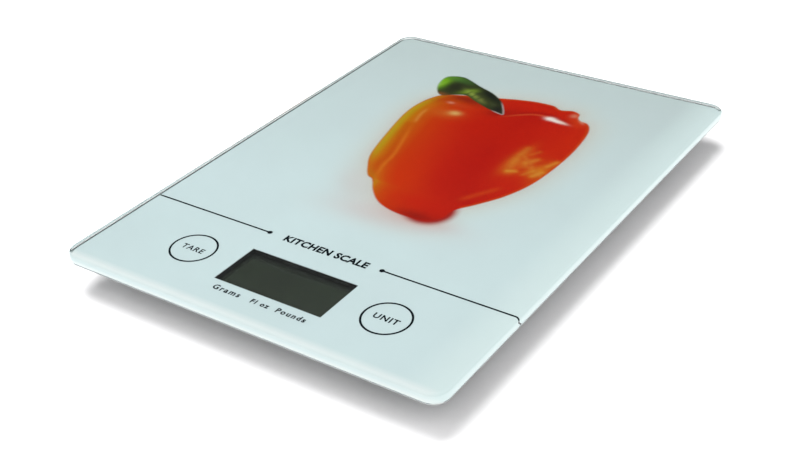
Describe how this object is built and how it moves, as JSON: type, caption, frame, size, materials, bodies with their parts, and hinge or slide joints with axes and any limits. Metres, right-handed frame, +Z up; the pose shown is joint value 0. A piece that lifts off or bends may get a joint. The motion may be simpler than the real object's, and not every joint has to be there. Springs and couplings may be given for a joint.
{
  "type": "kitchen scale",
  "caption": "Slim battery kitchen scale: a printed tempered glass plate with rounded corners on a low housing, with display window, touch keys and four load-cell feet.",
  "frame": {"origin": "centre of the footprint, on the surface the rubber pads stand on", "axes": "+Z up out of the weighing surface, +Y away from the display end along the length, +X to the right of a person reading the display"},
  "size_m": [0.16, 0.221, 0.016],
  "materials": {
    "glass": "clear polished tempered glass",
    "print": "screen-printed film seen through the glass",
    "tape": "foam tape",
    "housing": "finely textured ABS",
    "inner_plastic": "satin moulded plastic",
    "foam": "soft black foam",
    "rubber": "matte moulded rubber",
    "steel": "plated steel",
    "spring_steel": "nickel-plated spring steel",
    "copper": "bare copper foil",
    "laminate": "solder-masked board",
    "epoxy": "moulded epoxy",
    "display": "display glass, switched off",
    "silicone": "potting over the gauge",
    "label": "blank printed foil",
    "grey_lead": "flexible insulation",
    "red_lead": "flexible insulation",
    "black_lead": "flexible insulation"
  },
  "bodies": {
    "housing": {"adhesive_tape": "tape", "battery_contact_negative": "spring_steel", "battery_contact_positive": "spring_steel", "battery_holder": "inner_plastic", "battery_lead_negative": "black_lead", "battery_lead_positive": "red_lead", "board_screw_1": "steel", "board_screw_2": "steel", "board_screw_3": "steel", "board_screw_4": "steel", "bottom_cover": "housing", "cell_lead_back_left": "grey_lead", "cell_lead_back_right": "grey_lead", "cell_lead_front_left": "grey_lead", "cell_lead_front_right": "grey_lead", "circuit_board": "laminate", "coin_cell": "steel", "controller_chip": "epoxy", "cover_screw_1": "steel", "cover_screw_2": "steel", "cover_screw_3": "steel", "cover_screw_4": "steel", "cover_screw_5": "steel", "cover_screw_6": "steel", "foot_back_left": "housing", "foot_back_right": "housing", "foot_front_left": "housing", "foot_front_right": "housing", "foot_pad_back_left": "rubber", "foot_pad_back_right": "rubber", "foot_pad_front_left": "rubber", "foot_pad_front_right": "rubber", "glass_plate": "glass", "lcd_gasket": "foam", "lcd_holder": "inner_plastic", "lcd_panel": "display", "load_cell_back_left": "steel", "load_cell_back_right": "steel", "load_cell_front_left": "steel", "load_cell_front_right": "steel", "printed_film": "print", "rating_label": "label", "strain_gauge_back_left": "silicone", "strain_gauge_back_right": "silicone", "strain_gauge_front_left": "silicone", "strain_gauge_front_right": "silicone", "switch_board": "laminate", "switch_lead": "grey_lead", "touch_electrode_left": "copper", "touch_electrode_right": "copper", "touch_spring_left": "spring_steel", "touch_spring_right": "spring_steel", "unit_switch": "epoxy", "upper_tray": "housing", "zebra_strip": "foam"},
    "battery_door": {"battery_door": "housing"},
    "unit_button": {"unit_button": "inner_plastic"}
  },
  "joints": [
    {"name": "battery_door_hinge", "type": "hinge", "parent": "housing", "child": "battery_door", "pos_m": [0, -0.002, 0.004], "axis": [1, 0, 0], "range_deg": [0, 95]},
    {"name": "unit_button_press", "type": "slide", "parent": "housing", "child": "unit_button", "axis": [0, 0, 1], "range_m": [0, 0.0006], "stiffness_N_per_m": 3000}
  ]
}
